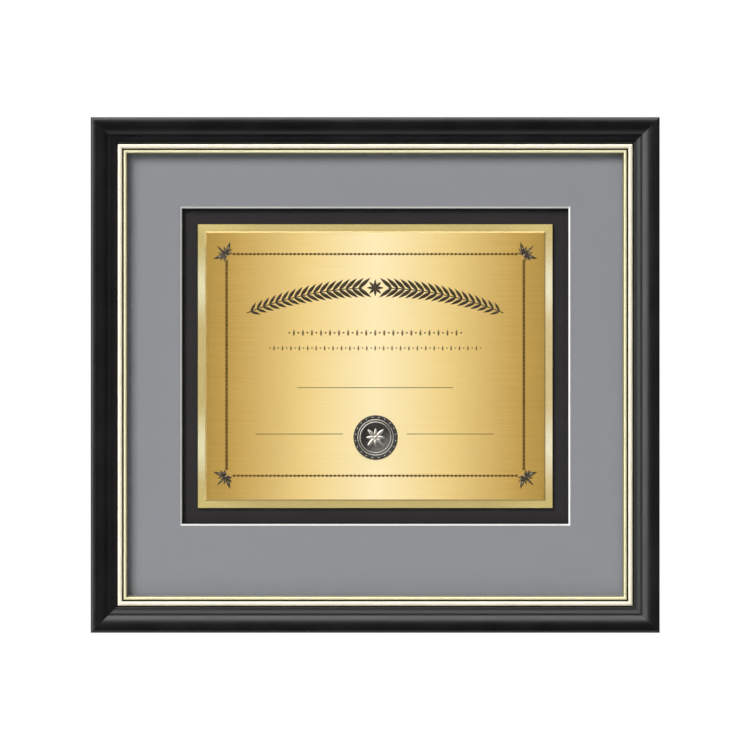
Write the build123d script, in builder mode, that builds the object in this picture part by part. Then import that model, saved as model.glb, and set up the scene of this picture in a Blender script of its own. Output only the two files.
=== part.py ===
from build123d import *
from collections import namedtuple
from math import asin, cos, degrees, radians, sin, tan
import os

# Certificate frame for a wall, in millimetres. X runs along the width, Z up the height,
# and the front faces -Y.
# The origin is the centre of the frame's outline on the wall plane that the rear bumpers rest against.

# Plate and the layout around it, from the plate outwards
plate_width = 254.0
plate_height = 203.2
reveal = 12.7               # black margin between the plate and the mat's window
mat_border = 38.1           # grey mat showing at the top and the sides
mat_border_bottom = 50.8    # the lower border is wider, as on a weighted mat

# Plate section
plate_edge = 0.8            # thickness at the rim
border_width = 5.0          # polished border that slopes up from the rim
border_rise = 0.6
field_chamfer = 1.0         # sloped step between the border and the brushed field
field_rise = 0.7

# Sheets behind the slip, front to back
glazing_thickness = 2.0
mat_thickness = 1.6
mat_bevel_angle = 45.0
spacer_thickness = 3.2
spacer_setback = 6.0        # spacers stay this far behind the window's edge
mount_board_thickness = 1.6
backing_thickness = 3.0
package_clearance = 0.8     # sheets to the rabbet wall, all round
tape_thickness = 1.0
tape_width = 25.0
tape_inset = 18.0           # plate edge to the outer tape strips and to the strips' ends

# Rail section, from the outer edge inwards
rail_depth = 22.2           # back face to the crest of the hump
rail_face = 18.2            # outer edge to the lip's edge
rabbet_width = 4.2
crest_inset = 3.6           # outer edge to the crest of the hump
shoulder_drop = 1.7         # crest down to the straight outer side
hump_radius = 13.8
hump_fall = 34.0            # degrees that the hump has turned where the cove begins
cove_radius = 4.0
band_tilt = 12.0            # degrees that the band leans inwards at its foot and at its lip
swell_tilt = 24.0           # degrees that it leans at its steepest
swell_radius = 9.5
lip_round = 0.8
back_ease = 0.8             # small chamfer on the outer back edge

# Slip section
slip_base = 2.5             # thickness under the rail's lip
slip_clearance = 0.3        # slip to the rabbet wall
bead_gap = 0.95             # outer bead to the rail's lip
outer_bead_width = 3.1
outer_bead_stilt = 2.9      # straight sides under the bead's round top
outer_bead_rise = 1.0
groove_width = 1.05
inner_bead_width = 2.1
inner_bead_stilt = 1.9
inner_bead_rise = 1.0
slip_foot = 0.9             # the slip's inner side slopes this far past the inner bead

# V nails that close the mitres
v_nail_leg = 4.5
v_nail_gauge = 0.7
v_nail_depth = 8.0
v_nail_pitch = 6.0
v_nail_margin = 2.0         # inner nail to the rabbet wall

# Pan-head wood screws
screw_radius = 1.5
screw_depth = 9.0           # length inside the rail
screw_tip = 2.0
screw_head_radius = 3.0
screw_head_height = 1.7
recess_width = 0.8
recess_length = 3.4
recess_depth = 0.9
pilot_clearance = 0.05      # screw to the pilot hole in the rail
pivot_clearance = 0.06      # tongue to the screw that it turns on

# Turn buttons
tongue_thickness = 1.2
tongue_pivot_radius = 5.0
tongue_tip_radius = 3.6
tongue_reach = 14.0         # pivot to the centre of the tip's round
tongue_bend = 10.0          # pivot to the line where the tip turns up
tongue_tip_angle = 14.0
button_corner_gap = 100.0   # pivots on the top and bottom rails, from the outer corner
button_side_gap = 135.0     # pivots on the side rails, from the outer corner

# Hangers
hanger_drop = 60.0          # top edge down to the ring's axis
strap_width = 8.0
strap_thickness = 0.8
strap_fold_gap = 0.1
strap_slope = 4.0           # run of the joggle behind the eye
strap_end = 6.0             # lower screw to the strap's free end
strap_end_round = 2.0
strap_hole_clearance = 0.2
hanger_screw_pitch = 14.0
hanger_screw_gap = 1.5      # folded ring to the upper screw's head
ring_wire_radius = 1.0
ring_clearance = 0.06       # ring wire to the strap's eye
ring_side_play = 0.4
ring_corner_radius = 1.5
ring_arm = 4.0              # ring axis to the centre of its round end
ring_seat_gap = 0.3         # resting ring to the back of the rail

# Bumpers
bumper_height = 4.5
bumper_radius = 4.8
bumper_round = 2.0
bumper_inset = 24.0         # bumper axis from the frame's side

# Derived sizes
window_width = plate_width + 2 * reveal
window_height = plate_height + 2 * reveal
window_lift = (mat_border_bottom - mat_border) / 2
rail_wall = rail_face - rabbet_width
slip_face = bead_gap + outer_bead_width + groove_width + inner_bead_width
moulding_face = rail_face + slip_face
frame_width = window_width + 2 * mat_border + 2 * moulding_face
frame_height = window_height + mat_border + mat_border_bottom + 2 * moulding_face
package_width = frame_width - 2 * (rail_wall + package_clearance)
package_height = frame_height - 2 * (rail_wall + package_clearance)

# Heights forward of the rails' back face, which stands off the wall by the bumpers
backing_front = backing_thickness
mount_board_front = backing_front + mount_board_thickness
spacer_front = mount_board_front + spacer_thickness
mat_front = spacer_front + mat_thickness
slip_back = mat_front + glazing_thickness
lip_under = slip_back + slip_base
rail_back_y = -bumper_height

# Hanger geometry
eye_radius = ring_wire_radius + ring_clearance
ring_half = strap_width / 2 + ring_side_play + ring_corner_radius
ring_reach = ring_arm + ring_half
ring_axis_height = strap_thickness + eye_radius
ring_lean = degrees(asin((ring_axis_height - ring_wire_radius - ring_seat_gap) / ring_reach))
upper_screw_drop = ring_reach + ring_wire_radius + hanger_screw_gap + screw_head_radius
strap_length = upper_screw_drop + hanger_screw_pitch + strap_end
strap_stack = 2 * strap_thickness + strap_fold_gap
hanger_z = frame_height / 2 - hanger_drop

Side = namedtuple("Side", "name middle inward run length turn")
sides = [
    Side("top", Vector(0, 0, frame_height / 2), Vector(0, 0, -1), Vector(-1, 0, 0), frame_width, 90),
    Side("bottom", Vector(0, 0, -frame_height / 2), Vector(0, 0, 1), Vector(1, 0, 0), frame_width, -90),
    Side("left", Vector(-frame_width / 2, 0, 0), Vector(1, 0, 0), Vector(0, 0, -1), frame_height, 0),
    Side("right", Vector(frame_width / 2, 0, 0), Vector(-1, 0, 0), Vector(0, 0, 1), frame_height, 180),
]

os.makedirs("parts", exist_ok=True)


def hand_in(part, label):
    part.label = label
    export_step(part, f"parts/{label}.step")


def sheet_plane(height):
    # plane parallel to the wall, at a height forward of the rails' back face, looking out of the front
    return Plane.XZ.offset(bumper_height + height)


def section_plane(side):
    # local X runs inwards from the outer edge, local Y forwards from the back face
    return Plane(origin=side.middle + Vector(0, rail_back_y, 0), x_dir=side.inward, z_dir=side.run)


def mitre_planes(side):
    for end in (1, -1):
        corner = side.middle + side.run * (end * side.length / 2)
        yield Plane(origin=corner, z_dir=side.run * end + side.inward)


def rail_section(side):
    # from the crest inwards each arc starts along the one before: hump, cove, swell, hollow, lip
    tilt_span = sin(radians(swell_tilt)) - sin(radians(band_tilt))
    with BuildSketch(section_plane(side)) as section:
        with BuildLine():
            outer_side = Polyline((back_ease, 0), (0, back_ease), (0, rail_depth - shoulder_drop))
            shoulder = (crest_inset, rail_depth - shoulder_drop)
            EllipticalCenterArc(shoulder, crest_inset, shoulder_drop, 90, arc_size=90)
            hump = JernArc((crest_inset, rail_depth), (1, 0), hump_radius, -hump_fall)
            cove = JernArc(hump @ 1, hump % 1, cove_radius, hump_fall - band_tilt)
            swell = JernArc(cove @ 1, cove % 1, swell_radius, band_tilt - swell_tilt)
            lip_start = rail_face - lip_round * (1 - sin(radians(band_tilt)))
            hollow_radius = (lip_start - (swell @ 1).X) / tilt_span
            hollow = JernArc(swell @ 1, swell % 1, hollow_radius, swell_tilt - band_tilt)
            lip = JernArc(hollow @ 1, hollow % 1, lip_round, band_tilt - 90)
            Polyline(lip @ 1, (rail_face, lip_under), (rail_wall, lip_under), (rail_wall, 0), outer_side @ 0)
        make_face()
    return section.sketch


def slip_section(side):
    bead_start = rail_face + bead_gap
    groove_start = bead_start + outer_bead_width
    groove_end = groove_start + groove_width
    outer_spring = lip_under + outer_bead_stilt
    inner_spring = lip_under + inner_bead_stilt
    with BuildSketch(section_plane(side)) as section:
        with BuildLine():
            Polyline(
                (bead_start, outer_spring),
                (bead_start, lip_under),
                (rail_wall + slip_clearance, lip_under),
                (rail_wall + slip_clearance, slip_back),
                (moulding_face + slip_foot, slip_back),
                (moulding_face, inner_spring),
            )
            inner_middle = (groove_end + inner_bead_width / 2, inner_spring)
            EllipticalCenterArc(inner_middle, inner_bead_width / 2, inner_bead_rise, 0, arc_size=180)
            Polyline(
                (groove_end, inner_spring),
                (groove_end, lip_under),
                (groove_start, lip_under),
                (groove_start, outer_spring),
            )
            outer_middle = (bead_start + outer_bead_width / 2, outer_spring)
            EllipticalCenterArc(outer_middle, outer_bead_width / 2, outer_bead_rise, 0, arc_size=180)
        make_face()
    return section.sketch


# V nails: each is a right-angled wedge that straddles the mitre, one leg in either rail
inner_nail = rail_wall - v_nail_margin
corner_turns = [
    (-frame_width / 2, -frame_height / 2, 0),
    (frame_width / 2, -frame_height / 2, 90),
    (frame_width / 2, frame_height / 2, 180),
    (-frame_width / 2, frame_height / 2, 270),
]
with BuildPart() as v_nails:
    with BuildSketch(sheet_plane(0)):
        with Locations(*[Location((x, y, 0), (0, 0, turn)) for x, y, turn in corner_turns]):
            for apex in (inner_nail, inner_nail - v_nail_pitch):
                with Locations((apex, apex)):
                    Rectangle(v_nail_leg, v_nail_gauge, align=(Align.MAX, Align.MAX))
                    Rectangle(v_nail_gauge, v_nail_leg, align=(Align.MAX, Align.MAX))
    extrude(amount=v_nail_depth)
hand_in(v_nails.part, "corner_v_nails")

# One pan-head screw with its seat at the origin, head towards the wall
with BuildPart() as screw:
    with BuildSketch(Plane.XY):
        with BuildLine():
            EllipticalCenterArc((0, 0), screw_head_radius, screw_head_height, 0, arc_size=90)
            Polyline((0, screw_head_height), (0, 0), (screw_head_radius, 0))
        make_face()
    revolve(axis=Axis.Y)
    with Locations((0, screw_head_height, 0)):
        Box(recess_width, 2 * recess_depth, recess_length, mode=Mode.SUBTRACT)
        Box(recess_length, 2 * recess_depth, recess_width, mode=Mode.SUBTRACT)


def screw_with_grip(grip):
    # the shank passes what the screw holds, then the rail
    with BuildPart() as whole_screw:
        add(screw.part)
        with BuildSketch(Plane.XY):
            with BuildLine():
                Polyline(
                    (0, 0),
                    (screw_radius, 0),
                    (screw_radius, screw_tip - grip - screw_depth),
                    (0, -grip - screw_depth),
                    close=True,
                )
            make_face()
        revolve(axis=Axis.Y)
    return whole_screw.part


# Turn buttons: two on each rail
pivot_inset = rail_wall / 2
tongue_grip = tongue_thickness + pivot_clearance
pivots = []
for side in sides:
    corner_gap = button_corner_gap if side.name in ("top", "bottom") else button_side_gap
    along = Vector(abs(side.run.X), 0, abs(side.run.Z))
    low_end, high_end = ("left", "right") if along.X else ("lower", "upper")
    for end, end_name in ((-1, low_end), (1, high_end)):
        place = side.middle + side.inward * pivot_inset + along * (end * (side.length / 2 - corner_gap))
        pivots.append((f"turn_button_{side.name}_{end_name}", place, side))

with BuildPart() as button_screws:
    with Locations(*[place + Vector(0, rail_back_y + tongue_grip, 0) for _, place, _ in pivots]):
        add(screw_with_grip(tongue_grip))
hand_in(button_screws.part, "turn_button_screws")

bend_run = tongue_reach + tongue_tip_radius - tongue_bend + tongue_thickness
bend_rise = bend_run * tan(radians(tongue_tip_angle))
with BuildPart() as tongue:
    with BuildSketch(Plane.XZ) as tongue_plan:
        with BuildLine():
            CenterArc((0, 0), tongue_pivot_radius, 0, 360)
            CenterArc((tongue_reach, 0), tongue_tip_radius, 0, 360)
        make_hull()
        Circle(screw_radius + pivot_clearance, mode=Mode.SUBTRACT)
    extrude(amount=-(bend_rise + tongue_thickness))
    with BuildSketch(Plane.XY):
        with BuildLine():
            Polyline(
                (-tongue_pivot_radius, 0),
                (tongue_bend, 0),
                (tongue_bend + bend_run, bend_rise),
                (tongue_bend + bend_run, bend_rise + tongue_thickness),
                (tongue_bend, tongue_thickness),
                (-tongue_pivot_radius, tongue_thickness),
                close=True,
            )
        make_face()
    extrude(amount=tongue_pivot_radius, both=True, mode=Mode.INTERSECT)

for label, place, side in pivots:
    with BuildPart() as turn_button:
        with Locations(Location(place + Vector(0, rail_back_y, 0), (0, side.turn, 0))):
            add(tongue.part)
    hand_in(turn_button.part, label)

# Hangers: a strap folded round the straight bar of a D-shaped ring, on each side rail
hanger_x = frame_width / 2 - rail_wall / 2
hanger_screw_drops = (upper_screw_drop, upper_screw_drop + hanger_screw_pitch)
hanger_ends = (("left", -hanger_x), ("right", hanger_x))
with BuildPart() as hanger_screws:
    with Locations(*[(x, rail_back_y + strap_stack, hanger_z - drop) for _, x in hanger_ends
                     for drop in hanger_screw_drops]):
        add(screw_with_grip(strap_stack))
hand_in(hanger_screws.part, "hanger_screws")

for end_name, x in hanger_ends:
    # strap section: local X runs up the rail from the ring's axis, local Y away from the rail
    strap_plane = Plane(origin=(x, rail_back_y, hanger_z), x_dir=(0, 0, 1), z_dir=(-1, 0, 0))
    eye_top = strap_thickness + 2 * eye_radius
    slope_end = -eye_radius - strap_slope
    with BuildPart() as strap:
        with BuildSketch(strap_plane):
            with BuildLine():
                CenterArc((0, ring_axis_height), eye_radius + strap_thickness, -90, 180)
                Polyline(
                    (0, eye_top + strap_thickness),
                    (-eye_radius, eye_top + strap_thickness),
                    (slope_end, strap_stack),
                    (-strap_length, strap_stack),
                    (-strap_length, strap_stack - strap_thickness),
                    (slope_end, strap_stack - strap_thickness),
                    (-eye_radius, eye_top),
                    (0, eye_top),
                )
                CenterArc((0, ring_axis_height), eye_radius, -90, 180)
                Polyline((0, strap_thickness), (-strap_length, strap_thickness), (-strap_length, 0), (0, 0))
            make_face()
        extrude(amount=strap_width / 2, both=True)
        end_edges = strap.edges().filter_by(Axis.Y).group_by(Axis.Z)[0]
        fillet(end_edges, strap_end_round)
        for drop in hanger_screw_drops:
            with Locations(Plane(origin=(x, rail_back_y + strap_stack, hanger_z - drop), z_dir=(0, 1, 0))):
                Hole(screw_radius + strap_hole_clearance, depth=strap_stack)
    hand_in(strap.part, f"{end_name}_hanger_strap")

    # the ring points up from its axis and leans a little, until its round end nearly rests on the rail
    lean = radians(ring_lean)
    ring_plane = Plane(
        origin=(x, rail_back_y + ring_axis_height, hanger_z),
        x_dir=(1, 0, 0),
        z_dir=(0, -cos(lean), -sin(lean)),
    )
    bar_half = ring_half - ring_corner_radius
    with BuildPart() as ring:
        with BuildLine(ring_plane) as ring_path:
            Line((-bar_half, 0), (bar_half, 0))
            CenterArc((bar_half, ring_corner_radius), ring_corner_radius, -90, 90)
            Line((ring_half, ring_corner_radius), (ring_half, ring_arm))
            CenterArc((0, ring_arm), ring_half, 0, 180)
            Line((-ring_half, ring_arm), (-ring_half, ring_corner_radius))
            CenterArc((-bar_half, ring_corner_radius), ring_corner_radius, 180, 90)
        with BuildSketch(Plane(origin=ring_path.line @ 0, z_dir=(1, 0, 0))):
            Circle(ring_wire_radius)
        sweep(path=ring_path.wire())
    hand_in(ring.part, f"{end_name}_hanger_ring")

# Rails and slips: one section each, cut by the same mitre planes on every side
for side in sides:
    pilot_places = [place for _, place, pivot_side in pivots if pivot_side is side]
    pilot_places += [Vector(x, 0, hanger_z - drop) for end_name, x in hanger_ends if end_name == side.name
                     for drop in hanger_screw_drops]
    with BuildPart() as rail:
        extrude(rail_section(side), amount=side.length / 2, both=True)
        for mitre in mitre_planes(side):
            split(bisect_by=mitre, keep=Keep.BOTTOM)
        add(v_nails.part, mode=Mode.SUBTRACT)
        for place in pilot_places:
            with Locations(Plane(origin=place + Vector(0, rail_back_y, 0), z_dir=(0, 1, 0))):
                Hole(screw_radius + pilot_clearance, depth=screw_depth)
    hand_in(rail.part, f"{side.name}_rail")

    with BuildPart() as slip:
        extrude(slip_section(side), amount=side.length / 2, both=True)
        for mitre in mitre_planes(side):
            split(bisect_by=mitre, keep=Keep.BOTTOM)
    hand_in(slip.part, f"{side.name}_slip")

# Sheets that fill the rabbet, back to front
with BuildPart() as backing_board:
    with BuildSketch(sheet_plane(0)):
        Rectangle(package_width, package_height)
    extrude(amount=backing_thickness)
hand_in(backing_board.part, "backing_board")

with BuildPart() as mount_board:
    with BuildSketch(sheet_plane(backing_front)):
        Rectangle(package_width, package_height)
    extrude(amount=mount_board_thickness)
hand_in(mount_board.part, "mount_board")

# Spacers: full-width strips above and below, shorter ones between them at the sides
inner_half_width = window_width / 2 + spacer_setback
inner_top = window_lift + window_height / 2 + spacer_setback
inner_bottom = window_lift - window_height / 2 - spacer_setback
package_top = package_height / 2
package_right = package_width / 2
spacer_corners = [
    ("top", (-package_right, inner_top), (package_right, package_top)),
    ("bottom", (-package_right, -package_top), (package_right, inner_bottom)),
    ("left", (-package_right, inner_bottom), (-inner_half_width, inner_top)),
    ("right", (inner_half_width, inner_bottom), (package_right, inner_top)),
]
for name, (x_low, z_low), (x_high, z_high) in spacer_corners:
    with BuildPart() as spacer:
        with BuildSketch(sheet_plane(mount_board_front)):
            with Locations(((x_low + x_high) / 2, (z_low + z_high) / 2)):
                Rectangle(x_high - x_low, z_high - z_low)
        extrude(amount=spacer_thickness)
    hand_in(spacer.part, f"{name}_spacer")

# Window mat: the window is wider at the face, so the bevel shows all round
bevel_run = mat_thickness / tan(radians(mat_bevel_angle))
with BuildPart() as mat_board:
    with BuildSketch(sheet_plane(spacer_front)):
        Rectangle(package_width, package_height)
    extrude(amount=mat_thickness)
    with BuildSketch(sheet_plane(spacer_front)):
        with Locations((0, window_lift)):
            Rectangle(window_width - 2 * bevel_run, window_height - 2 * bevel_run)
    with BuildSketch(sheet_plane(mat_front)):
        with Locations((0, window_lift)):
            Rectangle(window_width, window_height)
    loft(ruled=True, mode=Mode.SUBTRACT)
hand_in(mat_board.part, "mat_board")

with BuildPart() as glazing:
    with BuildSketch(sheet_plane(mat_front)):
        Rectangle(package_width, package_height)
    extrude(amount=glazing_thickness)
hand_in(glazing.part, "glazing")

# Tape strips and the plate that they hold
tape_pitch = (plate_width - 2 * tape_inset - tape_width) / 2
with BuildPart() as plate_tape:
    with BuildSketch(sheet_plane(mount_board_front)):
        with Locations((0, window_lift)):
            with GridLocations(tape_pitch, 0, 3, 1):
                Rectangle(tape_width, plate_height - 2 * tape_inset)
    extrude(amount=tape_thickness)
hand_in(plate_tape.part, "plate_tape")

plate_back = mount_board_front + tape_thickness
border_foot = plate_back + plate_edge
field_foot = border_foot + border_rise
field_width = plate_width - 2 * border_width
field_height = plate_height - 2 * border_width
plate_steps = [
    (border_foot, plate_width, plate_height, field_foot, field_width, field_height),
    (field_foot, field_width, field_height, field_foot + field_rise,
     field_width - 2 * field_chamfer, field_height - 2 * field_chamfer),
]
with BuildPart() as plate:
    with BuildSketch(sheet_plane(plate_back)):
        with Locations((0, window_lift)):
            Rectangle(plate_width, plate_height)
    extrude(amount=plate_edge)
    for foot, foot_width, foot_height, top, top_width, top_height in plate_steps:
        with BuildSketch(sheet_plane(foot)):
            with Locations((0, window_lift)):
                Rectangle(foot_width, foot_height)
        with BuildSketch(sheet_plane(top)):
            with Locations((0, window_lift)):
                Rectangle(top_width, top_height)
        loft(ruled=True)
hand_in(plate.part, "certificate_plate")

# Bumpers: rubber domes with a flat top, on the back of the bottom rail
bumper_z = -frame_height / 2 + rail_wall / 2
for end_name, x in (("left", bumper_inset - frame_width / 2), ("right", frame_width / 2 - bumper_inset)):
    with BuildPart() as bumper:
        with BuildSketch(Plane(origin=(x, rail_back_y, bumper_z), z_dir=(0, 1, 0))):
            Circle(bumper_radius)
        extrude(amount=bumper_height)
        fillet(bumper.edges().group_by(Axis.Y)[-1], bumper_round)
    hand_in(bumper.part, f"{end_name}_bumper")
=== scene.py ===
import bpy
import bmesh
import math
from mathutils import Matrix, Vector


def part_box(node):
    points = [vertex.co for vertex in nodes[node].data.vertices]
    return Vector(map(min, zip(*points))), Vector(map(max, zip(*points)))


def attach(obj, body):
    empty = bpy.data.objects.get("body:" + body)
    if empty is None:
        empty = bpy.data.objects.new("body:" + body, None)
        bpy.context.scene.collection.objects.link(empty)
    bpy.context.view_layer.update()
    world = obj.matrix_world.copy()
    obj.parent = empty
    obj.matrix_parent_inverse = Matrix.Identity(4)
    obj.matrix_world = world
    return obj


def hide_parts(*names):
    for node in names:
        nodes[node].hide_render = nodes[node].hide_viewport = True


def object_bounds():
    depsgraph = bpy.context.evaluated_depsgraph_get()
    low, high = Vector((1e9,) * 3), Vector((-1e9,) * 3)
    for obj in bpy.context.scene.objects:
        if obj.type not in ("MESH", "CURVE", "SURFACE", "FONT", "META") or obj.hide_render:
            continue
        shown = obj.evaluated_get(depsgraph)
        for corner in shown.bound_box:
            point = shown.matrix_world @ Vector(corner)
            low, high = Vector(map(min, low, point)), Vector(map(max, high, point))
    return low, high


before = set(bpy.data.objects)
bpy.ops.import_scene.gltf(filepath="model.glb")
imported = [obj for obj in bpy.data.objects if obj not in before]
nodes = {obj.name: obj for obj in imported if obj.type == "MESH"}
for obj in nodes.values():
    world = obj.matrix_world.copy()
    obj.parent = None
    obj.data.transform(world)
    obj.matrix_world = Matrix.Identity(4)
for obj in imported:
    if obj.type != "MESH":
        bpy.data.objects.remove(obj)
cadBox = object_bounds()
scene = bpy.context.scene
print("packed frame loaded:", len(nodes), "nodes")

mm = 0.001
sideNames = ("top", "bottom", "left", "right")
plateLow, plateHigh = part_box("certificate_plate")
plateWidth, plateHeight = plateHigh.x - plateLow.x, plateHigh.z - plateLow.z
plateMiddle = (plateLow.z + plateHigh.z) / 2
plateFace = plateLow.y  # front of the brushed field


# node helpers

def addNode(tree, kind, **settings):
    node = tree.nodes.new(kind)
    for key, value in settings.items():
        setattr(node, key, value)
    return node


def feed(tree, socket, value):  # link a socket, or set a plain value
    if isinstance(value, bpy.types.NodeSocket):
        tree.links.new(value, socket)
    else:
        socket.default_value = value


def mathStep(tree, operation, first, second=0.0, clamp=False):
    node = addNode(tree, "ShaderNodeMath", operation=operation, use_clamp=clamp)
    feed(tree, node.inputs[0], first)
    feed(tree, node.inputs[1], second)
    return node.outputs[0]


def remap(tree, value, fromLow, fromHigh, toLow, toHigh, smooth=False):
    node = addNode(tree, "ShaderNodeMapRange", interpolation_type="SMOOTHSTEP" if smooth else "LINEAR")
    feed(tree, node.inputs["Value"], value)
    limits = {"From Min": fromLow, "From Max": fromHigh, "To Min": toLow, "To Max": toHigh}
    for name, number in limits.items():
        node.inputs[name].default_value = number
    return node.outputs["Result"]


def between(tree, share, low, high):  # a share of 0 to 1, turned into low to high
    return remap(tree, share, 0.0, 1.0, low, high)


def rising(tree, value, start, end, smooth=False):  # 0 up to the start, 1 from the end on
    return remap(tree, value, start, end, 0.0, 1.0, smooth)


def falling(tree, value, start, end):  # 1 up to the start, 0 from the end on
    return remap(tree, value, start, end, 1.0, 0.0)


def mixColour(tree, factor, first, second):
    node = addNode(tree, "ShaderNodeMix", data_type="RGBA")
    feed(tree, node.inputs[0], factor)
    for socket, value in ((node.inputs[6], first), (node.inputs[7], second)):
        feed(tree, socket, value if isinstance(value, bpy.types.NodeSocket) else (*value, 1.0))
    return node.outputs[2]


def axisOf(tree, axis):  # one object coordinate of the surface
    place = addNode(tree, "ShaderNodeTexCoord").outputs["Object"]
    split = addNode(tree, "ShaderNodeSeparateXYZ")
    tree.links.new(place, split.inputs[0])
    return split.outputs[axis]


def awayFrom(tree, axis, middle):  # distance along one axis to either side of the middle
    return mathStep(tree, "ABSOLUTE", mathStep(tree, "SUBTRACT", axisOf(tree, axis), middle))


def bumpFrom(tree, shader, height, strength, distance):
    bump = addNode(tree, "ShaderNodeBump")
    bump.inputs["Strength"].default_value = strength
    bump.inputs["Distance"].default_value = distance
    tree.links.new(height, bump.inputs["Height"])
    tree.links.new(bump.outputs["Normal"], shader.inputs["Normal"])


def newFinish(name, **sockets):
    material = bpy.data.materials.new(name)
    material.use_nodes = True
    tree = material.node_tree
    shader = next(n for n in tree.nodes if n.type == "BSDF_PRINCIPLED")
    for key, value in sockets.items():
        shader.inputs[key].default_value = value
    return material, tree, shader


# shared effects

noiseLow, noiseHigh = 0.3, 0.7  # most of a noise lies between these, spread to 0 and 1


def buildMottle():  # soft cloudy change plus fine grain, both 0 to 1
    group = bpy.data.node_groups.new("mottle", "ShaderNodeTree")
    for name, start in (("Cloud Scale", 40.0), ("Grain Scale", 900.0)):
        group.interface.new_socket(name, in_out="INPUT", socket_type="NodeSocketFloat").default_value = start
    for name in ("Cloud", "Grain"):
        group.interface.new_socket(name, in_out="OUTPUT", socket_type="NodeSocketFloat")
    come, go = addNode(group, "NodeGroupInput"), addNode(group, "NodeGroupOutput")
    place = addNode(group, "ShaderNodeTexCoord").outputs["Object"]
    for index, detail in ((0, 3.0), (1, 2.0)):
        noise = addNode(group, "ShaderNodeTexNoise")
        noise.inputs["Detail"].default_value = detail
        group.links.new(place, noise.inputs["Vector"])
        group.links.new(come.outputs[index], noise.inputs["Scale"])
        group.links.new(rising(group, noise.outputs[0], noiseLow, noiseHigh), go.inputs[index])
    return group


def buildStreaks():  # long streaks, set by how often they change along each axis
    group = bpy.data.node_groups.new("streaks", "ShaderNodeTree")
    group.interface.new_socket("Stretch", in_out="INPUT", socket_type="NodeSocketVector")
    for name in ("Broad", "Fine"):
        group.interface.new_socket(name, in_out="OUTPUT", socket_type="NodeSocketFloat")
    come, go = addNode(group, "NodeGroupInput"), addNode(group, "NodeGroupOutput")
    place = addNode(group, "ShaderNodeTexCoord").outputs["Object"]
    pull = addNode(group, "ShaderNodeVectorMath", operation="MULTIPLY")
    group.links.new(place, pull.inputs[0])
    group.links.new(come.outputs["Stretch"], pull.inputs[1])
    for index, scale in ((0, 1.0), (1, 4.0)):
        noise = addNode(group, "ShaderNodeTexNoise")
        noise.inputs["Scale"].default_value = scale
        noise.inputs["Detail"].default_value = 3.0
        group.links.new(pull.outputs[0], noise.inputs["Vector"])
        group.links.new(rising(group, noise.outputs[0], noiseLow, noiseHigh), go.inputs[index])
    return group


mottle = buildMottle()
streaks = buildStreaks()


def mottled(tree, cloudScale, grainScale):
    node = addNode(tree, "ShaderNodeGroup", node_tree=mottle)
    node.inputs["Cloud Scale"].default_value = cloudScale
    node.inputs["Grain Scale"].default_value = grainScale
    return node.outputs["Cloud"], node.outputs["Grain"]


def streaked(tree, stretch):
    node = addNode(tree, "ShaderNodeGroup", node_tree=streaks)
    node.inputs["Stretch"].default_value = stretch
    return node.outputs["Broad"], node.outputs["Fine"]


# finishes

def lacquerFinish(name, stretch):  # satin black over wood, bare wood on the back face
    look = {"deep": (0.0012, 0.0011, 0.0016), "thin": (0.0024, 0.0022, 0.003), "rough": (0.33, 0.39),
            "bare": (0.5, 0.34, 0.19), "bareDark": (0.33, 0.2, 0.1), "bareRough": 0.4,
            "backLine": -4.75 * mm, "ragged": 0.25 * mm, "fade": 0.15 * mm,
            "cloudScale": 55.0, "grainScale": 1400.0, "bump": 0.05, "bumpDepth": 0.1 * mm}
    material, tree, shader = newFinish(name, **{"Specular IOR Level": 0.5})
    cloud, grain = mottled(tree, look["cloudScale"], look["grainScale"])
    broad, fine = streaked(tree, stretch)
    black = mixColour(tree, cloud, look["deep"], look["thin"])
    timber = mixColour(tree, broad, look["bare"], look["bareDark"])
    depth = mathStep(tree, "ADD", axisOf(tree, "Y"), mathStep(tree, "MULTIPLY", grain, look["ragged"]))
    bare = rising(tree, depth, look["backLine"], look["backLine"] + look["fade"])
    tree.links.new(mixColour(tree, bare, black, timber), shader.inputs["Base Color"])
    sheen = between(tree, cloud, *look["rough"])
    rough = mathStep(tree, "ADD", sheen, mathStep(tree, "MULTIPLY", bare, look["bareRough"]))
    tree.links.new(rough, shader.inputs["Roughness"])
    bumpFrom(tree, shader, fine, look["bump"], look["bumpDepth"])
    return material


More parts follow.
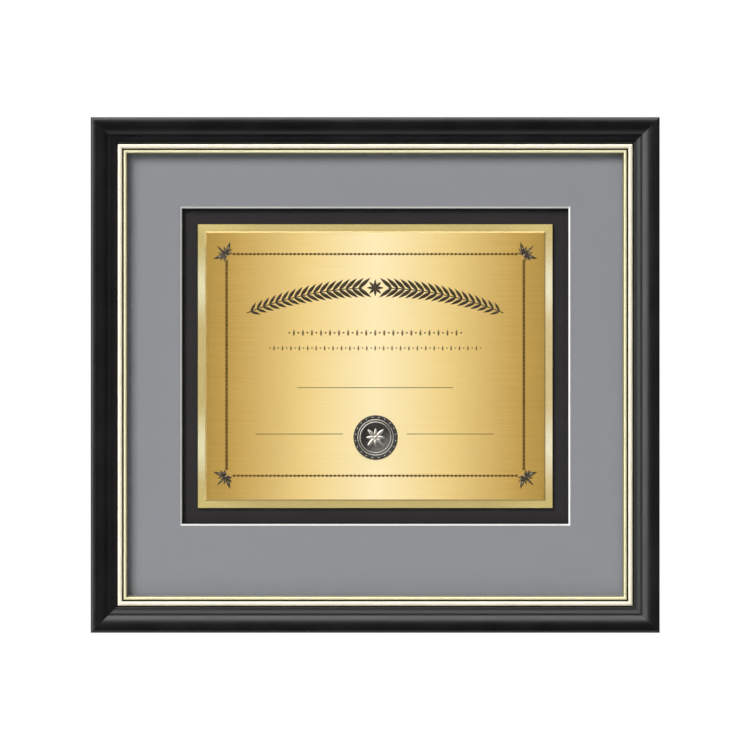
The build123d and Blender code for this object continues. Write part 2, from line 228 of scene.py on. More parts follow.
def giltFinish():  # burnished leaf on the slip, with painted shade in the gap, in the groove and on the foot
    look = {"bright": (0.84, 0.79, 0.65), "rubbed": (0.8, 0.73, 0.55), "inner": (0.71, 0.67, 0.42),
            "paintedShade": (0.032, 0.024, 0.004), "footShade": 0.8, "metallic": 0.18, "rough": (0.24, 0.34),
            "shadeRough": 0.4, "cloudScale": 90.0, "grainScale": 2200.0, "gapEnd": 19.25 * mm,
            "grooveStart": 22.15 * mm, "grooveEnd": 23.4 * mm, "footStart": 25.35 * mm, "fade": 0.12 * mm}
    fade = look["fade"]
    material, tree, shader = newFinish("giltLeaf", **{"Specular IOR Level": 0.5})
    cloud, grain = mottled(tree, look["cloudScale"], look["grainScale"])
    sideways = mathStep(tree, "SUBTRACT", cadBox[1].x, mathStep(tree, "ABSOLUTE", axisOf(tree, "X")))
    upright = mathStep(tree, "SUBTRACT", cadBox[1].z, mathStep(tree, "ABSOLUTE", axisOf(tree, "Z")))
    inward = mathStep(tree, "MINIMUM", sideways, upright)  # distance in from the frame's outer edge
    # masks for the painted shade: the gap by the rail's lip, the groove between the beads and the slip's
    # foot
    gap = falling(tree, inward, look["gapEnd"] - fade, look["gapEnd"])
    enter = rising(tree, inward, look["grooveStart"], look["grooveStart"] + fade)
    leave = falling(tree, inward, look["grooveEnd"] - fade, look["grooveEnd"])
    groove = mathStep(tree, "MULTIPLY", enter, leave)
    foot = remap(tree, inward, look["footStart"], look["footStart"] + fade, 0.0, look["footShade"])
    paintedShade = mathStep(tree, "MAXIMUM", mathStep(tree, "MAXIMUM", groove, gap), foot)
    outer = mixColour(tree, cloud, look["bright"], look["rubbed"])
    gold = mixColour(tree, enter, outer, look["inner"])  # the inner bead is yellower
    tree.links.new(mixColour(tree, paintedShade, gold, look["paintedShade"]), shader.inputs["Base Color"])
    tree.links.new(between(tree, paintedShade, look["metallic"], 0.0), shader.inputs["Metallic"])
    shine = between(tree, grain, *look["rough"])
    rough = mathStep(tree, "ADD", shine, mathStep(tree, "MULTIPLY", paintedShade, look["shadeRough"]))
    tree.links.new(rough, shader.inputs["Roughness"])
    return material


def glassFinish():  # clear sheet, shown by its faint film
    look = {"tone": (0.95, 0.98, 0.97, 1.0), "film": 0.012, "rough": (0.02, 0.07),
            "cloudScale": 12.0, "grainScale": 300.0}
    material, tree, shader = newFinish("clearSheet", Metallic=1.0, Alpha=look["film"],
                                       **{"Base Color": look["tone"]})
    cloud, grain = mottled(tree, look["cloudScale"], look["grainScale"])
    tree.links.new(between(tree, cloud, *look["rough"]), shader.inputs["Roughness"])
    return material


def matFinish():  # grey faced board, white core and a band of painted shade, all three seen at the bevel
    look = {"face": (0.283, 0.292, 0.31), "faceDark": (0.262, 0.271, 0.288), "core": (0.9, 0.895, 0.89),
            "bevelShade": (0.03, 0.028, 0.03), "coreDepth": 1.2 * mm, "plateToFace": 12.65 * mm,
            "cloudScale": 160.0, "grainScale": 3200.0, "bump": 0.12, "bumpDepth": 0.05 * mm}
    halfX, halfZ = plateWidth / 2 + look["plateToFace"], plateHeight / 2 + look["plateToFace"]
    material, tree, shader = newFinish("greyMatBoard", Roughness=0.85, **{"Specular IOR Level": 0.25})
    cloud, grain = mottled(tree, look["cloudScale"], look["grainScale"])
    face = mixColour(tree, grain, look["face"], look["faceDark"])
    inX = mathStep(tree, "SUBTRACT", halfX, mathStep(tree, "ABSOLUTE", axisOf(tree, "X")))
    inZ = mathStep(tree, "SUBTRACT", halfZ, awayFrom(tree, "Z", plateMiddle))
    depth = mathStep(tree, "MINIMUM", inX, inZ)  # in from the window's edge
    # past the core depth the bevel gets painted shade
    pastCore = mathStep(tree, "GREATER_THAN", depth, look["coreDepth"])
    cut = mixColour(tree, pastCore, look["core"], look["bevelShade"])
    tone = mixColour(tree, mathStep(tree, "GREATER_THAN", depth, 0.0), face, cut)
    tree.links.new(tone, shader.inputs["Base Color"])
    bumpFrom(tree, shader, grain, look["bump"], look["bumpDepth"])
    return material


def boardFinish(name, light, dark, roughness, grainScale, bump):  # any fibrous sheet
    look = {"grainShare": 0.7, "cloudShare": 0.3, "cloudScale": 30.0, "bumpDepth": 0.1 * mm}
    material, tree, shader = newFinish(name, Roughness=roughness, **{"Specular IOR Level": 0.25})
    cloud, grain = mottled(tree, look["cloudScale"], grainScale)
    spread = mathStep(tree, "ADD", mathStep(tree, "MULTIPLY", grain, look["grainShare"]),
                      mathStep(tree, "MULTIPLY", cloud, look["cloudShare"]))
    tree.links.new(mixColour(tree, spread, light, dark), shader.inputs["Base Color"])
    bumpFrom(tree, shader, grain, bump, look["bumpDepth"])
    return material


def metalFinish(name, light, dark, rough, stretch):  # plated steel with faint drawn lines
    look = {"cloudScale": 220.0, "grainScale": 2600.0, "bump": 0.04, "bumpDepth": 0.05 * mm}
    material, tree, shader = newFinish(name, Metallic=1.0)
    cloud, grain = mottled(tree, look["cloudScale"], look["grainScale"])
    broad, fine = streaked(tree, stretch)
    tree.links.new(mixColour(tree, cloud, light, dark), shader.inputs["Base Color"])
    tree.links.new(between(tree, fine, *rough), shader.inputs["Roughness"])
    bumpFrom(tree, shader, fine, look["bump"], look["bumpDepth"])
    return material


def brushedFinish():  # gold field, brushed from side to side, with a painted reflection that leaves it pale in the middle and deeper in colour towards its ends
    look = {"reach": 124.0 * mm, "waver": 0.05, "rough": (0.42, 0.5), "stretch": (14.0, 0.0, 2600.0),
            "reflectionTones": ((0.0, (0.96, 0.825, 0.495)), (0.4, (0.865, 0.65, 0.262)),
                      (0.8, (0.607, 0.397, 0.107)), (1.0, (0.491, 0.315, 0.071)))}
    material, tree, shader = newFinish("brushedGold", Metallic=1.0, Anisotropic=0.9)
    broad, fine = streaked(tree, look["stretch"])
    share = mathStep(tree, "DIVIDE", mathStep(tree, "ABSOLUTE", axisOf(tree, "X")), look["reach"])
    waver = between(tree, broad, -look["waver"], look["waver"])
    # the painted reflection: pale in the middle, deeper towards the ends
    ramp = addNode(tree, "ShaderNodeValToRGB")
    for place, tone in look["reflectionTones"][1:-1]:
        ramp.color_ramp.elements.new(place)
    for element, (place, tone) in zip(ramp.color_ramp.elements, look["reflectionTones"]):
        element.position, element.color = place, (*tone, 1.0)
    tree.links.new(mathStep(tree, "ADD", share, waver, clamp=True), ramp.inputs[0])
    tree.links.new(ramp.outputs["Color"], shader.inputs["Base Color"])
    tree.links.new(between(tree, fine, *look["rough"]), shader.inputs["Roughness"])
    lines = addNode(tree, "ShaderNodeTangent", direction_type="UV_MAP", uv_map="brushed")
    tree.links.new(lines.outputs[0], shader.inputs["Tangent"])
    return material


def polishedFinish(name, left, right, end, corner):  # border with painted light: a painted highlight at two places on each side, the right side painted lighter than the left, ends and corners painted in tones of their own
    look = {"highlightPlace": 57.0 * mm, "highlightReach": 33.0 * mm, "sideHolds": 0.8, "endHolds": 0.6,
            "dull": (0.5, 0.4, 0.15), "dullMost": 0.08, "rough": (0.2, 0.28),
            "cloudScale": 25.0, "grainScale": 1800.0}
    halfX, halfZ = plateWidth / 2, plateHeight / 2
    material, tree, shader = newFinish(name, Metallic=0.35)
    cloud, grain = mottled(tree, look["cloudScale"], look["grainScale"])
    across = mathStep(tree, "ABSOLUTE", axisOf(tree, "X"))
    up = awayFrom(tree, "Z", plateMiddle)
    inX, inZ = mathStep(tree, "SUBTRACT", halfX, across), mathStep(tree, "SUBTRACT", halfZ, up)
    onSide = mathStep(tree, "LESS_THAN", inX, inZ)
    # the right side is painted lighter than the left
    onRight = mathStep(tree, "GREATER_THAN", axisOf(tree, "X"), 0.0)
    plain, highlightTone = [mixColour(tree, onRight, first, second) for first, second in zip(left, right)]
    # painted highlight at two places on each side
    fromHighlight = mathStep(tree, "ABSOLUTE", mathStep(tree, "SUBTRACT", up, look["highlightPlace"]))
    glow = mixColour(tree, rising(tree, fromHighlight, 0.0, look["highlightReach"], smooth=True), highlightTone, plain)
    toCorner = rising(tree, up, look["sideHolds"] * halfZ, halfZ, smooth=True)
    sideTone = mixColour(tree, toCorner, glow, corner)
    toCorner = rising(tree, across, look["endHolds"] * halfX, halfX, smooth=True)
    endTone = mixColour(tree, toCorner, end, corner)
    tone = mixColour(tree, onSide, endTone, sideTone)
    dull = between(tree, cloud, 0.0, look["dullMost"])
    tree.links.new(mixColour(tree, dull, tone, look["dull"]), shader.inputs["Base Color"])
    tree.links.new(between(tree, grain, *look["rough"]), shader.inputs["Roughness"])
    return material


def inkFinish(name, light, dark, metallic, roughness, shine=0.5):  # filled and darkened relief on the plate
    look = {"roughSpread": 0.1, "cloudScale": 700.0, "grainScale": 4000.0}
    material, tree, shader = newFinish(name, Metallic=metallic, **{"Specular IOR Level": shine})
    cloud, grain = mottled(tree, look["cloudScale"], look["grainScale"])
    tree.links.new(mixColour(tree, cloud, light, dark), shader.inputs["Base Color"])
    rough = between(tree, grain, roughness, roughness + look["roughSpread"])
    tree.links.new(rough, shader.inputs["Roughness"])
    return material


def dress(material, *names):
    for name in names:
        slots = nodes[name].data.materials
        slots.clear()
        slots.append(material)


acrossGrain, upGrain = (9.0, 260.0, 260.0), (260.0, 260.0, 9.0)
dress(lacquerFinish("blackLacquerAcross", acrossGrain), "top_rail", "bottom_rail")
dress(lacquerFinish("blackLacquerUp", upGrain), "left_rail", "right_rail")
dress(giltFinish(), *[f"{side}_slip" for side in sideNames])
dress(glassFinish(), "glazing")
dress(matFinish(), "mat_board")
dress(boardFinish("blackMountBoard", light=(0.028, 0.025, 0.027), dark=(0.019, 0.017, 0.018),
                  roughness=0.8, grainScale=2600.0, bump=0.1), "mount_board")
dress(boardFinish("whiteFoamBoard", light=(0.82, 0.82, 0.8), dark=(0.74, 0.74, 0.72),
                  roughness=0.8, grainScale=900.0, bump=0.1), *[f"{side}_spacer" for side in sideNames])
dress(boardFinish("mountingTape", light=(0.78, 0.78, 0.75), dark=(0.68, 0.68, 0.66),
                  roughness=0.7, grainScale=1500.0, bump=0.1), "plate_tape")
dress(boardFinish("brownHardboard", light=(0.33, 0.2, 0.105), dark=(0.2, 0.115, 0.055),
                  roughness=0.6, grainScale=1100.0, bump=0.2), "backing_board")
dress(boardFinish("bumperRubber", light=(0.03, 0.03, 0.031), dark=(0.018, 0.018, 0.019),
                  roughness=0.55, grainScale=2000.0, bump=0.1), "left_bumper", "right_bumper")
dress(metalFinish("zincSteel", light=(0.66, 0.66, 0.67), dark=(0.52, 0.52, 0.54),
                  rough=(0.25, 0.4), stretch=(200.0, 200.0, 900.0)),
      "corner_v_nails", "hanger_screws", *[n for n in nodes if n.startswith("turn_button_")])
dress(metalFinish("nickelWire", light=(0.76, 0.74, 0.7), dark=(0.66, 0.64, 0.6),
                  rough=(0.15, 0.28), stretch=(900.0, 200.0, 200.0)),
      *[n for n in nodes if n.endswith(("hanger_strap", "hanger_ring"))])
print("packed nodes dressed")


# the plate and what is worked on it

plateWork = []  # its pieces, which have lamps of their own


def addPiece(name, bm, materials, smooth=False):
    bmesh.ops.recalc_face_normals(bm, faces=bm.faces)
    mesh = bpy.data.meshes.new(name)
    bm.to_mesh(mesh)
    bm.free()
    for material in materials:
        mesh.materials.append(material)
    for face in mesh.polygons:
        face.use_smooth = smooth
    piece = bpy.data.objects.new(name, mesh)
    scene.collection.objects.link(piece)
    plateWork.append(piece)
    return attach(piece, "frame")


def buildPlate():
    plate = {"edge": 1.1 * mm, "borderWidth": 5.0 * mm, "borderRise": 0.3 * mm, "stepWidth": 1.1 * mm,
             "stepRise": 0.7 * mm}
    bm = bmesh.new()
    bmesh.ops.create_grid(bm, x_segments=1, y_segments=1, size=0.5)
    bmesh.ops.scale(bm, vec=(plateWidth, plateHeight, 1.0), verts=bm.verts)
    rim = bmesh.ops.extrude_face_region(bm, geom=bm.faces[:])
    top = [f for f in rim["geom"] if isinstance(f, bmesh.types.BMFace)]
    bmesh.ops.translate(bm, vec=(0, 0, plate["edge"]), verts=list({v for f in top for v in f.verts}))
    bmesh.ops.inset_region(bm, faces=top, thickness=plate["borderWidth"], depth=plate["borderRise"],
                           use_even_offset=True, use_boundary=True)
    step = bmesh.ops.inset_region(bm, faces=top, thickness=plate["stepWidth"], depth=plate["stepRise"],
                                  use_even_offset=True, use_boundary=True)
    for face in bm.faces:
        face.material_index = 1
    for face in step["faces"]:
        face.material_index = 2
    top[0].material_index = 0
    bmesh.ops.rotate(bm, cent=(0, 0, 0), matrix=Matrix.Rotation(math.radians(90), 3, "X"), verts=bm.verts)
    bmesh.ops.translate(bm, vec=(0, plateHigh.y, plateMiddle), verts=bm.verts)
    brushed = bm.loops.layers.uv.new("brushed")
    for face in bm.faces:
        for loop in face.loops:
            loop[brushed].uv = (loop.vert.co.z, loop.vert.co.x)
    # each side's painted light, then that of its painted highlights; the right side is painted lighter, and
    # the step darkest on the left
    border = polishedFinish("polishedGold", left=((0.62, 0.495, 0.2), (0.84, 0.785, 0.48)),
                            right=((0.745, 0.59, 0.29), (0.97, 0.89, 0.62)),
                            end=(0.52, 0.41, 0.15), corner=(0.655, 0.53, 0.2))
    edge = polishedFinish("stepGold", left=((0.25, 0.17, 0.06), (0.265, 0.185, 0.07)),
                          right=((0.53, 0.35, 0.115), (0.53, 0.37, 0.14)),
                          end=(0.385, 0.28, 0.1), corner=(0.4, 0.29, 0.095))
    piece = addPiece("goldPlate", bm, [brushedFinish(), border, edge])
    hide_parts("certificate_plate")


buildPlate()
print("plate built")

# shapes below are laid out in the plate's own plan, x right, y up, z out of the plate
onPlate = Matrix.Translation((0, plateFace, plateMiddle)) @ Matrix.Rotation(math.radians(90), 4, "X")


def keepShape(name, bm):
    bmesh.ops.recalc_face_normals(bm, faces=bm.faces)
    shape = bpy.data.meshes.new(name)
    bm.to_mesh(shape)
    bm.free()
    return shape


def stamp(bm, shape, x, y, turn, size, slotIndex=0):
    place = Matrix.Translation((x, y, 0)) @ Matrix.Rotation(turn, 4, "Z") @ Matrix.Diagonal((*size, 1.0))
    copy = shape.copy()
    copy.transform(onPlate @ place)
    for face in copy.polygons:
        face.material_index = slotIndex
    bm.from_mesh(copy)
    bpy.data.meshes.remove(copy)


def leafShape():  # pointed leaf, one unit long from its stalk, spun and then pressed flat
    leaf = {"belly": 0.2, "lean": 0.8, "steps": 7, "around": 8, "flat": 0.32, "merge": 0.001}
    bm = bmesh.new()
    line = []
    for step in range(leaf["steps"]):
        along = step / (leaf["steps"] - 1)
        line.append(bm.verts.new((along, leaf["belly"] * math.sin(math.pi * along ** leaf["lean"]), 0)))
    edges = [bm.edges.new(pair) for pair in zip(line, line[1:])]
    bmesh.ops.spin(bm, geom=line + edges, cent=(0, 0, 0), axis=(1, 0, 0), dvec=(0, 0, 0), angle=2 * math.pi,
                   steps=leaf["around"], use_merge=True)
    bmesh.ops.remove_doubles(bm, verts=bm.verts, dist=leaf["merge"])
    bmesh.ops.scale(bm, vec=(1, 1, leaf["flat"]), verts=bm.verts)
    return keepShape("leafShape", bm)


def beadShape():  # one unit wide
    bm = bmesh.new()
    bmesh.ops.create_uvsphere(bm, u_segments=8, v_segments=6, radius=0.5)
    return keepShape("beadShape", bm)


def ruleShape():  # one unit long bar with its top edges eased
    bm = bmesh.new()
    bmesh.ops.create_cube(bm, size=1.0)
    upper = [e for e in bm.edges if all(v.co.z > 0 for v in e.verts)]
    bmesh.ops.bevel(bm, geom=upper, offset=0.2, affect="EDGES", segments=2, profile=0.5, material=-1)
    return keepShape("ruleShape", bm)


leaf, bead, rule = leafShape(), beadShape(), ruleShape()
lineInk = inkFinish("brownFill", light=(0.15, 0.077, 0.015), dark=(0.085, 0.043, 0.008),
                    metallic=0.2, roughness=0.45, shine=0.05)
rowInk = inkFinish("oliveFill", light=(0.2, 0.125, 0.034), dark=(0.13, 0.08, 0.02),
                   metallic=0.2, roughness=0.45, shine=0.2)
leafInk = inkFinish("darkFill", light=(0.06, 0.042, 0.018), dark=(0.024, 0.017, 0.008),
                    metallic=0.4, roughness=0.32)
pewter = inkFinish("darkPewter", light=(0.06, 0.056, 0.05), dark=(0.03, 0.028, 0.024),
                   metallic=0.6, roughness=0.42)
brightPewter = inkFinish("brightPewter", light=(0.62, 0.58, 0.51), dark=(0.45, 0.42, 0.37),
                         metallic=1.0, roughness=0.25)


def buildBeading():  # border line of slanting beads on a thin band
    beading = {"halfWidth": 106.45 * mm, "halfHeight": 79.4 * mm, "rise": 0.9 * mm, "pitch": 2.87 * mm,
               "slant": math.radians(14), "bead": (2.2 * mm, 1.8 * mm, 0.5 * mm), "clear": 4.0 * mm,
               "acrossBand": (0.7 * mm, 0.16 * mm), "upBand": (1.9 * mm, 0.16 * mm)}
    lines = ((0.0, beading["halfWidth"], beading["halfHeight"], beading["acrossBand"]),
             (math.pi / 2, beading["halfHeight"], beading["halfWidth"], beading["upBand"]))
    bm = bmesh.new()
    for turn, reach, away, band in lines:
        run = 2 * (reach - beading["clear"])  # the sprigs stand at the ends
        count = round(run / beading["pitch"])
        for side in (1, -1):
            for index in range(count):
                along = -run / 2 + run * (index + 0.5) / count
                x, y = (along, side * away) if turn == 0.0 else (side * away, along)
                stamp(bm, bead, x, y + beading["rise"], turn + beading["slant"], beading["bead"])
            x, y = (0.0, side * away) if turn == 0.0 else (side * away, 0.0)
            stamp(bm, rule, x, y + beading["rise"], turn, (run, *band), 1)
    addPiece("plateBeading", bm, [lineInk, rowInk], smooth=True)


def buildSprigs():  # a spray of dark leaves at each corner of the border line, with a bright rib on each leaf and a bright bead at the middle, both painted highlights
    sprig = {"place": (106.8 * mm, 79.2 * mm), "rise": 0.5 * mm, "thick": 7.0 * mm,
             "highlightRib": (0.55, 0.3, 1.2), "highlightRibStart": 0.25, "eye": (1.9 * mm, 1.1 * mm, 2.4 * mm),
             "leaves": ((0, 9.6, 0.45), (62, 9.8, 0.66), (-62, 9.8, 0.66), (31, 6.6, 0.62), (-31, 6.6, 0.62),
                        (88, 6.4, 0.6), (-88, 6.4, 0.6), (118, 5.0, 0.7), (-118, 5.0, 0.7))}
    bm = bmesh.new()
    for right in (1, -1):
        for up in (1, -1):
            x, y = right * sprig["place"][0], up * sprig["place"][1] + sprig["rise"]
            out = math.atan2(up, right)
            for swing, length, width in sprig["leaves"]:  # degrees, mm, share of the length
                turn, size = out + math.radians(swing), (length * mm, length * width * mm, sprig["thick"])
                # a bright rib along each leaf: a painted highlight
                highlightRib = [whole * share for whole, share in zip(size, sprig["highlightRib"])]
                start = sprig["highlightRibStart"] * size[0]
                stamp(bm, leaf, x, y, turn, size)
                stamp(bm, leaf, x + start * math.cos(turn), y + start * math.sin(turn), turn, highlightRib, 1)
            # the bright bead at the middle: a painted glint
            stamp(bm, bead, x, y, out, sprig["eye"], 1)
    addPiece("plateSprigs", bm, [leafInk, brightPewter], smooth=True)


def buildGarland():  # two leafy branches that rise from the sides and meet at a rosette
    garland = {"top": 56.1 * mm, "radius": 244.0 * mm, "sweep": math.radians(21.9), "pairs": 18,
               "firstPair": 2.6, "tailPairs": 2.0, "leaf": 11.6 * mm, "slim": 0.6, "taper": 0.35,
               "splay": math.radians(38), "thick": 6.0 * mm, "stemOverlap": 1.1,
               "stem": (0.7 * mm, 0.4 * mm), "petals": 8, "petal": 6.2 * mm, "petalSlim": 0.8,
               "eye": (2.6 * mm, 2.6 * mm, 1.4 * mm)}
    radius, thick = garland["radius"], garland["thick"]
    centre = garland["top"] - radius
    stemRun = radius * garland["sweep"] / garland["pairs"] * garland["stemOverlap"]
    bm = bmesh.new()
    for side in (1, -1):
        for index in range(garland["pairs"]):
            share = (index + garland["firstPair"]) / (garland["pairs"] + garland["tailPairs"])
            angle = math.pi / 2 - side * garland["sweep"] * share
            x, y = radius * math.cos(angle), centre + radius * math.sin(angle)
            heading = angle + side * math.pi / 2  # towards the rosette
            length = garland["leaf"] * (1.0 - garland["taper"] * share ** 2)
            size = (length, length * garland["slim"], thick)
            for splay in (1, -1):
                stamp(bm, leaf, x, y, heading + splay * garland["splay"], size)
            stamp(bm, rule, x, y, heading, (stemRun, *garland["stem"]))
    petal = (garland["petal"], garland["petal"] * garland["petalSlim"], thick)
    for index in range(garland["petals"]):
        stamp(bm, leaf, 0.0, garland["top"], 2 * math.pi * index / garland["petals"], petal)
    stamp(bm, bead, 0.0, garland["top"], 0.0, garland["eye"])
    addPiece("plateGarland", bm, [leafInk], smooth=True)


def buildRules():  # two rows of upright leaves and dots, three plain rules
    rows = ({"y": 23.9 * mm, "half": 61.5 * mm, "pitch": 3.3 * mm, "size": 4.8 * mm},
            {"y": 12.9 * mm, "half": 75.5 * mm, "pitch": 3.0 * mm, "size": 3.8 * mm})
    trim = {"dot": 0.3, "dotRise": 0.4 * mm, "leafSlim": 0.8, "leafThick": 1.2 * mm,
            "rule": (0.5 * mm, 0.2 * mm)}
    rules = ((0.0, -15.4 * mm, 111.5 * mm), (-54.5 * mm, -48.6 * mm, 62.5 * mm),
             (53.7 * mm, -48.6 * mm, 62.5 * mm))
    bm = bmesh.new()
    for row in rows:
        size, count = row["size"], round(row["half"] / row["pitch"])
        dot = (size * trim["dot"], size * trim["dot"], trim["dotRise"])
        upright = (size, size * trim["leafSlim"], trim["leafThick"])
        for index in range(-count, count + 1):
            x = index * row["half"] / count
            if index % 2:
                stamp(bm, bead, x, row["y"], 0.0, dot)
            else:
                stamp(bm, leaf, x, row["y"] - size / 2, math.pi / 2, upright)
    for x, y, length in rules:
        stamp(bm, rule, x, y, 0.0, (length, *trim["rule"]))
    addPiece("plateRules", bm, [rowInk], smooth=True)


def buildSeal():  # plain rosette seal
    seal = {"place": (0.3 * mm, -51.1 * mm), "around": 72, "merge": 0.0001 * mm, "brightAbove": 0.6 * mm,
            "studs": 40, "studRing": 14.6 * mm, "stud": (1.3 * mm, 1.5 * mm, 1.5 * mm),
            "petalCount": 8, "petals": ((9.2, 0.9), (7.6, 0.95)), "petalThick": 15.0 * mm,
            "eye": (3.6 * mm, 3.6 * mm, 2.6 * mm),
            "profile": ((15.9, 0.0), (15.9, 0.3), (15.5, 0.55), (13.9, 0.55), (13.5, 0.3), (13.2, 0.3),
                        (13.0, 0.7), (12.4, 0.7), (12.2, 0.3), (11.6, 0.3), (11.4, 0.75), (10.7, 0.75),
                        (10.4, 0.25), (0.0, 0.4))}
    x, y = seal["place"]
    bm = bmesh.new()
    line = [bm.verts.new((r * mm, 0, z * mm)) for r, z in seal["profile"]]
    edges = [bm.edges.new(pair) for pair in zip(line, line[1:])]
    bmesh.ops.spin(bm, geom=line + edges, cent=(0, 0, 0), axis=(0, 0, 1), dvec=(0, 0, 0), angle=2 * math.pi,
                   steps=seal["around"], use_merge=True)
    bmesh.ops.remove_doubles(bm, verts=bm.verts, dist=seal["merge"])
    for face in bm.faces:
        face.material_index = 1 if face.calc_center_median().z > seal["brightAbove"] else 0
    bmesh.ops.transform(bm, matrix=onPlate @ Matrix.Translation((x, y, 0)), verts=bm.verts)
    for index in range(seal["studs"]):
        angle = 2 * math.pi * index / seal["studs"]
        studX, studY = x + seal["studRing"] * math.cos(angle), y + seal["studRing"] * math.sin(angle)
        stamp(bm, bead, studX, studY, angle, seal["stud"], index % 2)
    addPiece("plateSeal", bm, [pewter, brightPewter], smooth=True)
    bm = bmesh.new()
    for index in range(seal["petalCount"]):  # long and short petals by turns
        length, width = seal["petals"][index % 2]
        petal = (length * mm, length * width * mm, seal["petalThick"])
        stamp(bm, leaf, x, y, 2 * math.pi * (index + 1) / seal["petalCount"], petal)
    stamp(bm, bead, x, y, 0.0, seal["eye"])
    addPiece("sealRosette", bm, [brightPewter], smooth=True)


buildBeading()
buildSprigs()
buildGarland()
buildRules()
buildSeal()
print("plate ornaments built")


# stage, camera and lights

def seenDirectly(tree):  # by the camera, or through the glazing
    rays = addNode(tree, "ShaderNodeLightPath")
    return mathStep(tree, "MAXIMUM", rays.outputs["Is Camera Ray"], rays.outputs["Is Transmission Ray"])


def buildStage():
    stage = {"drop": -0.75, "width": 14.0, "near": -0.65, "far": 6.5, "tone": (0.86, 0.86, 0.86, 1.0),
             "glow": 0.72}
    bm = bmesh.new()
    bmesh.ops.create_grid(bm, x_segments=1, y_segments=1, size=0.5)
    bmesh.ops.scale(bm, vec=(stage["width"], stage["far"] - stage["near"], 1.0), verts=bm.verts)
    bmesh.ops.translate(bm, vec=(0, (stage["near"] + stage["far"]) / 2, stage["drop"]), verts=bm.verts)
    mesh = bpy.data.meshes.new("paleFloor")
    bm.to_mesh(mesh)
    bm.free()
    floor = bpy.data.objects.new("paleFloor", mesh)
    scene.collection.objects.link(floor)
    material = bpy.data.materials.new("paleFloor")
    material.use_nodes = True
    tree = material.node_tree
    tree.nodes.clear()
    matte = addNode(tree, "ShaderNodeBsdfDiffuse")
    matte.inputs["Color"].default_value = stage["tone"]
    glow = addNode(tree, "ShaderNodeEmission")
    clear = addNode(tree, "ShaderNodeBsdfTransparent")
    lift, gate = addNode(tree, "ShaderNodeMixShader"), addNode(tree, "ShaderNodeMixShader")
    tree.links.new(mathStep(tree, "MULTIPLY", seenDirectly(tree), stage["glow"]), lift.inputs[0])
    tree.links.new(matte.outputs[0], lift.inputs[1])
    tree.links.new(glow.outputs[0], lift.inputs[2])
    under = addNode(tree, "ShaderNodeNewGeometry").outputs["Backfacing"]  # open from below
    tree.links.new(under, gate.inputs[0])
    tree.links.new(lift.outputs[0], gate.inputs[1])
    tree.links.new(clear.outputs[0], gate.inputs[2])
    tree.links.new(gate.outputs[0], addNode(tree, "ShaderNodeOutputMaterial").inputs[0])
    mesh.materials.append(material)


def buildRoom():  # white backdrop side behind the frame, dimmer room in front of it
    room = {"front": 0.034, "back": 1.0, "turnStart": -0.25, "turnEnd": 0.35, "tone": (1.0, 1.0, 1.0, 1.0)}
    world = bpy.data.worlds.new("room")
    scene.world = world
    world.use_nodes = True
    tree = world.node_tree
    tree.nodes.clear()
    facing = addNode(tree, "ShaderNodeSeparateXYZ")
    tree.links.new(addNode(tree, "ShaderNodeTexCoord").outputs["Generated"], facing.inputs[0])
    level = remap(tree, facing.outputs["Y"], room["turnStart"], room["turnEnd"], room["front"], room["back"],
                  smooth=True)
    sky = addNode(tree, "ShaderNodeBackground")
    sky.inputs["Color"].default_value = room["tone"]
    tree.links.new(mathStep(tree, "MAXIMUM", level, seenDirectly(tree)), sky.inputs["Strength"])
    tree.links.new(sky.outputs[0], addNode(tree, "ShaderNodeOutputWorld").inputs[0])


def addCamera():
    view = {"lens": 300.0, "sensor": 36.0, "fieldWidth": 0.53603, "plane": -22.3 * mm,
            "aim": (-0.15 * mm, 0.0), "clip": 60.0}
    lens = bpy.data.cameras.new("camera")
    lens.lens, lens.sensor_width = view["lens"], view["sensor"]
    lens.clip_end = view["clip"]
    away = view["fieldWidth"] * view["lens"] / view["sensor"]
    camera = bpy.data.objects.new("camera", lens)
    camera.location = (view["aim"][0], view["plane"] - away, view["aim"][1])
    camera.rotation_euler = (math.radians(90), 0, 0)
    scene.collection.objects.link(camera)
    scene.camera = camera


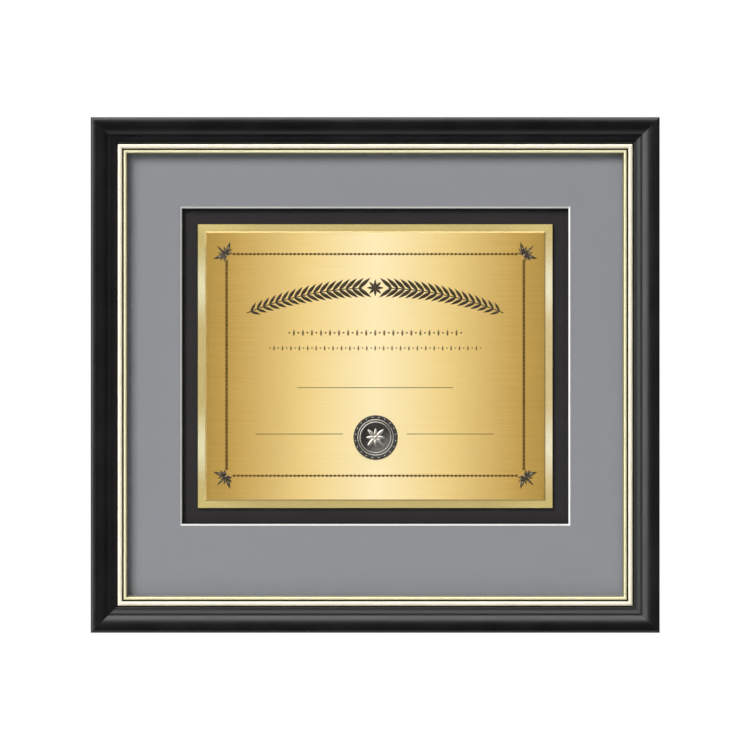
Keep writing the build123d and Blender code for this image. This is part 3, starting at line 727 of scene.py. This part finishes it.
def addLamp(name, place, size, watts, aim=(0, 0, 0), only=(), skip=()):
    lamp = bpy.data.lights.new(name, "AREA")
    lamp.shape = "RECTANGLE"
    lamp.size, lamp.size_y = size
    lamp.energy = watts
    holder = bpy.data.objects.new(name, lamp)
    holder.location = place
    holder.rotation_euler = (Vector(aim) - Vector(place)).to_track_quat("-Z", "Y").to_euler()
    holder.visible_camera = False
    if only or skip:  # lights these pieces alone, or all but these
        group = bpy.data.collections.new(name + "Pieces")
        for piece in only or skip:
            group.objects.link(piece)
        for entry in group.collection_objects:
            entry.light_linking.link_state = "INCLUDE" if only else "EXCLUDE"
        holder.light_linking.receiver_collection = group
    scene.collection.objects.link(holder)


buildStage()
buildRoom()
addCamera()
boards = [nodes["mat_board"], nodes["mount_board"]]
sideRails = [nodes["left_rail"], nodes["right_rail"]]
slips = [nodes[f"{side}_slip"] for side in sideNames]
lamps = {
    "leftBox": {"place": (-3.77, -2.93, 1.47), "size": (3.0, 4.9), "watts": 207.0, "skip": boards},
    "topBox": {"place": (-0.99, -2.58, 4.17), "size": (6.3, 2.85), "watts": 268.0, "skip": boards},
    "lowBox": {"place": (0.0, -0.35, -1.2), "size": (1.1, 0.35), "watts": 2.5, "skip": boards},
    "boardBox": {"place": (-6.8, -8.0, 7.6), "size": (7.2, 7.2), "watts": 2510.0, "only": boards,
                 "aim": (-6.8, 0, 7.6)},
    "boardFill": {"place": (0.0, -2.0, 0.0), "size": (6.0, 6.0), "watts": 36.0, "only": boards},
    "frontStrip": {"place": (0.0, -1.0, 0.0), "size": (0.256, 1.2), "watts": 0.86, "only": plateWork},
    "plateSide": {"place": (2.1, -2.9, 0.4), "size": (2.2, 3.0), "watts": 12.0, "only": plateWork},
    "rightPanel": {"place": (1.75, -3.0, 0.0), "size": (2.6, 4.0), "watts": 5.5, "only": sideRails,
                   "aim": (1.75, 0, 0)},
    "lowPanel": {"place": (0.0, -1.6, -2.6), "size": (4.0, 1.4), "watts": 9.0, "only": [nodes["top_rail"]]},
    "giltFill": {"place": (0.0, -3.0, 0.0), "size": (2.0, 2.0), "watts": 12.5, "only": slips},
}
for name, lamp in lamps.items():
    addLamp(name, **lamp)
scene.view_settings.view_transform = "Standard"
print("stage, lamps and camera set")
